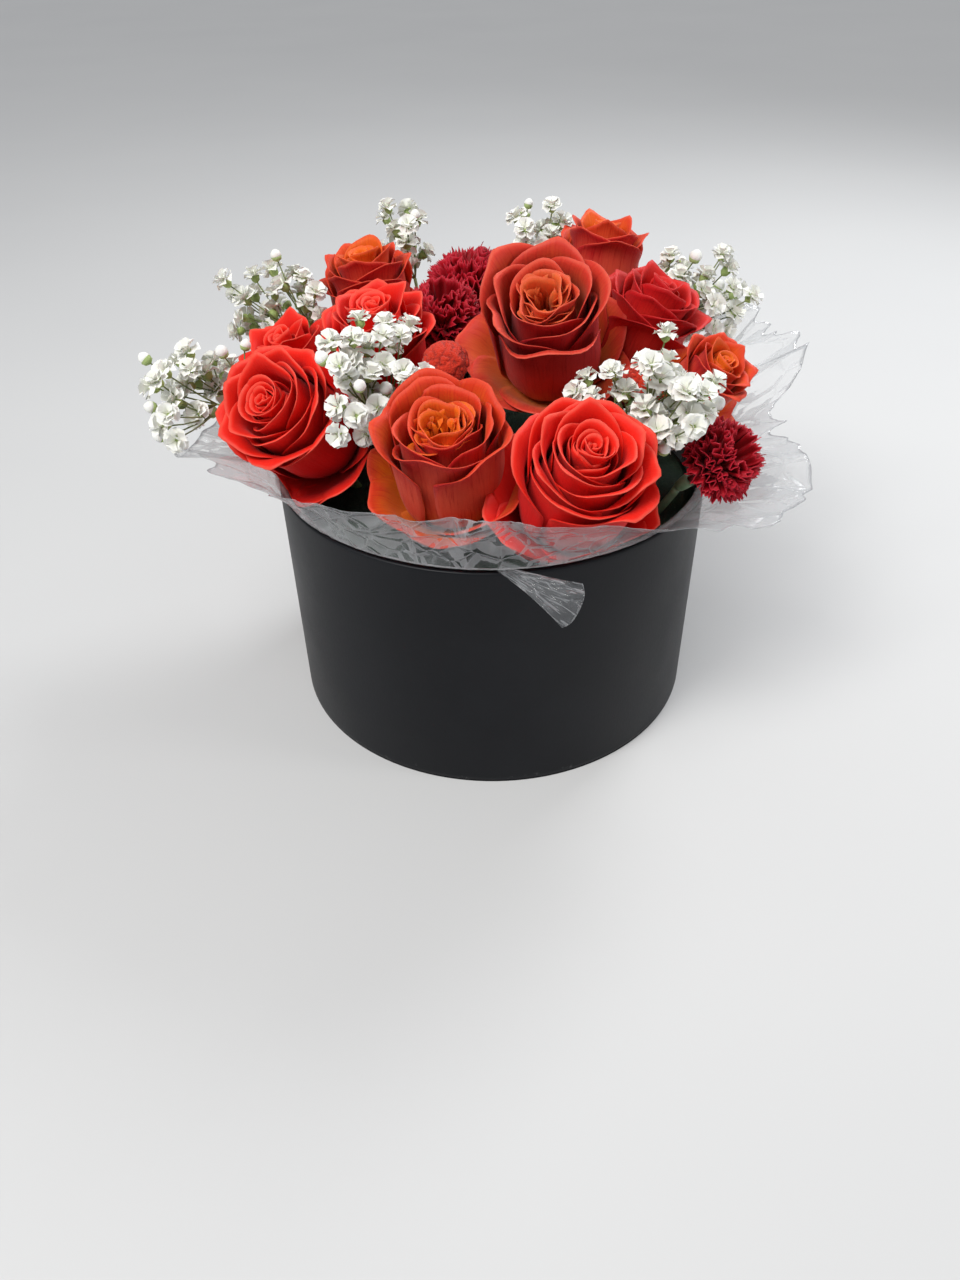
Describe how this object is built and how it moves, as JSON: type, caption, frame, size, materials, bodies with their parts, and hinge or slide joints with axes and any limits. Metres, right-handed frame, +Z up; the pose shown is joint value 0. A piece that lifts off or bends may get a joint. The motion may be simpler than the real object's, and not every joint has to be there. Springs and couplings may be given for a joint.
{
  "type": "flower box",
  "caption": "Round black flower box with a foam block lined in clear film, holding roses, carnations, celosia and baby's breath that pull out along their stems.",
  "frame": {"origin": "centre of the box's underside", "axes": "+Z up, -Y towards the front of the arrangement, +X to the right seen from the front"},
  "size_m": [0.3008, 0.2549, 0.2114],
  "materials": {
    "black_paper": "satin black covering paper",
    "greyboard": "plain grey board",
    "floral_foam": "matt green foam",
    "clear_film": "clear crinkled cellophane",
    "red_petals": "velvety scarlet",
    "orange_petals": "velvety orange with red rims",
    "coral_petals": "velvety coral red",
    "carnation_petals": "matt crimson",
    "celosia_plush": "plush scarlet",
    "breath_white": "matt white",
    "rose_green": "fresh green stem",
    "carnation_green": "waxy grey green",
    "breath_green": "thin brown green"
  },
  "bodies": {
    "box": {"box_wall": "greyboard", "box_base": "greyboard", "base_paper": "black_paper", "wall_paper": "black_paper"},
    "arrangement": {"foam_block": "floral_foam", "film_liner": "clear_film"},
    "red_rose_left": {"red_rose_left_bloom": "red_petals", "red_rose_left_stem": "rose_green", "red_rose_left_sepals": "rose_green"},
    "orange_rose_front": {"orange_rose_front_bloom": "orange_petals", "orange_rose_front_stem": "rose_green", "orange_rose_front_sepals": "rose_green"},
    "red_rose_right": {"red_rose_right_bloom": "red_petals", "red_rose_right_stem": "rose_green", "red_rose_right_sepals": "rose_green"},
    "orange_rose_top": {"orange_rose_top_bloom": "orange_petals", "orange_rose_top_stem": "rose_green", "orange_rose_top_sepals": "rose_green"},
    "red_rose_middle": {"red_rose_middle_bloom": "red_petals", "red_rose_middle_stem": "rose_green", "red_rose_middle_sepals": "rose_green"},
    "orange_rose_back_left": {"orange_rose_back_left_bloom": "orange_petals", "orange_rose_back_left_stem": "rose_green", "orange_rose_back_left_sepals": "rose_green"},
    "coral_rose_right": {"coral_rose_right_bloom": "coral_petals", "coral_rose_right_stem": "rose_green", "coral_rose_right_sepals": "rose_green"},
    "orange_rose_back": {"orange_rose_back_bloom": "orange_petals", "orange_rose_back_stem": "rose_green", "orange_rose_back_sepals": "rose_green"},
    "small_orange_rose": {"small_orange_rose_bloom": "orange_petals", "small_orange_rose_stem": "rose_green", "small_orange_rose_sepals": "rose_green"},
    "red_rose_back_left": {"red_rose_back_left_bloom": "red_petals", "red_rose_back_left_stem": "rose_green", "red_rose_back_left_sepals": "rose_green"},
    "carnation_back": {"carnation_back_bloom": "carnation_petals", "carnation_back_stem": "carnation_green"},
    "carnation_middle": {"carnation_middle_bloom": "carnation_petals", "carnation_middle_stem": "carnation_green"},
    "carnation_right": {"carnation_right_bloom": "carnation_petals", "carnation_right_stem": "carnation_green"},
    "celosia_middle": {"celosia_middle_bloom": "celosia_plush", "celosia_middle_stem": "rose_green"},
    "celosia_right": {"celosia_right_bloom": "celosia_plush", "celosia_right_stem": "rose_green"},
    "breath_left": {"breath_left_stem": "breath_green", "breath_left_flowers": "breath_white"},
    "breath_back_left": {"breath_back_left_stem": "breath_green", "breath_back_left_flowers": "breath_white"},
    "breath_middle": {"breath_middle_stem": "breath_green", "breath_middle_flowers": "breath_white"},
    "breath_back": {"breath_back_stem": "breath_green", "breath_back_flowers": "breath_white"},
    "breath_back_middle": {"breath_back_middle_stem": "breath_green", "breath_back_middle_flowers": "breath_white"},
    "breath_back_right": {"breath_back_right_stem": "breath_green", "breath_back_right_flowers": "breath_white"},
    "breath_right": {"breath_right_stem": "breath_green", "breath_right_flowers": "breath_white"}
  },
  "joints": [
    {"name": "arrangement_lift", "type": "slide", "parent": "box", "child": "arrangement", "axis": [0, 0, 1], "range_m": [0, 0.12]},
    {"name": "red_rose_left_pull", "type": "slide", "parent": "arrangement", "child": "red_rose_left", "axis": [-0.4769, -0.0829, 0.8751], "range_m": [0, 0.05]},
    {"name": "orange_rose_front_pull", "type": "slide", "parent": "arrangement", "child": "orange_rose_front", "axis": [-0.1136, -0.3557, 0.9277], "range_m": [0, 0.05]},
    {"name": "red_rose_right_pull", "type": "slide", "parent": "arrangement", "child": "red_rose_right", "axis": [0.2098, -0.4199, 0.883], "range_m": [0, 0.05]},
    {"name": "orange_rose_top_pull", "type": "slide", "parent": "arrangement", "child": "orange_rose_top", "axis": [0.1526, 0.107, 0.9825], "range_m": [0, 0.05]},
    {"name": "red_rose_middle_pull", "type": "slide", "parent": "arrangement", "child": "red_rose_middle", "axis": [-0.3017, 0.108, 0.9473], "range_m": [0, 0.05]},
    {"name": "orange_rose_back_left_pull", "type": "slide", "parent": "arrangement", "child": "orange_rose_back_left", "axis": [-0.3048, 0.4166, 0.8565], "range_m": [0, 0.05]},
    {"name": "coral_rose_right_pull", "type": "slide", "parent": "arrangement", "child": "coral_rose_right", "axis": [0.3782, 0.2284, 0.8971], "range_m": [0, 0.05]},
    {"name": "orange_rose_back_pull", "type": "slide", "parent": "arrangement", "child": "orange_rose_back", "axis": [0.2734, 0.4208, 0.8649], "range_m": [0, 0.05]},
    {"name": "small_orange_rose_pull", "type": "slide", "parent": "arrangement", "child": "small_orange_rose", "axis": [0.5074, 0.0208, 0.8615], "range_m": [0, 0.05]},
    {"name": "red_rose_back_left_pull", "type": "slide", "parent": "arrangement", "child": "red_rose_back_left", "axis": [-0.5119, 0.2037, 0.8346], "range_m": [0, 0.05]},
    {"name": "carnation_back_pull", "type": "slide", "parent": "arrangement", "child": "carnation_back", "axis": [-0.0594, 0.4914, 0.8689], "range_m": [0, 0.05]},
    {"name": "carnation_middle_pull", "type": "slide", "parent": "arrangement", "child": "carnation_middle", "axis": [-0.1281, 0.2771, 0.9523], "range_m": [0, 0.05]},
    {"name": "carnation_right_pull", "type": "slide", "parent": "arrangement", "child": "carnation_right", "axis": [0.4892, -0.2988, 0.8194], "range_m": [0, 0.05]},
    {"name": "celosia_middle_pull", "type": "slide", "parent": "arrangement", "child": "celosia_middle", "axis": [-0.1071, -0.104, 0.9888], "range_m": [0, 0.05]},
    {"name": "celosia_right_pull", "type": "slide", "parent": "arrangement", "child": "celosia_right", "axis": [0.3693, -0.0752, 0.9263], "range_m": [0, 0.05]},
    {"name": "breath_left_pull", "type": "slide", "parent": "arrangement", "child": "breath_left", "axis": [-0.5629, -0.0306, 0.826], "range_m": [0, 0.05]},
    {"name": "breath_back_left_pull", "type": "slide", "parent": "arrangement", "child": "breath_back_left", "axis": [-0.4598, 0.3025, 0.8349], "range_m": [0, 0.05]},
    {"name": "breath_middle_pull", "type": "slide", "parent": "arrangement", "child": "breath_middle", "axis": [-0.2787, -0.1394, 0.9502], "range_m": [0, 0.05]},
    {"name": "breath_back_pull", "type": "slide", "parent": "arrangement", "child": "breath_back", "axis": [-0.189, 0.5003, 0.845], "range_m": [0, 0.05]},
    {"name": "breath_back_middle_pull", "type": "slide", "parent": "arrangement", "child": "breath_back_middle", "axis": [0.1138, 0.4892, 0.8647], "range_m": [0, 0.05]},
    {"name": "breath_back_right_pull", "type": "slide", "parent": "arrangement", "child": "breath_back_right", "axis": [0.4085, 0.356, 0.8404], "range_m": [0, 0.05]},
    {"name": "breath_right_pull", "type": "slide", "parent": "arrangement", "child": "breath_right", "axis": [0.3555, -0.2697, 0.8949], "range_m": [0, 0.05]}
  ]
}
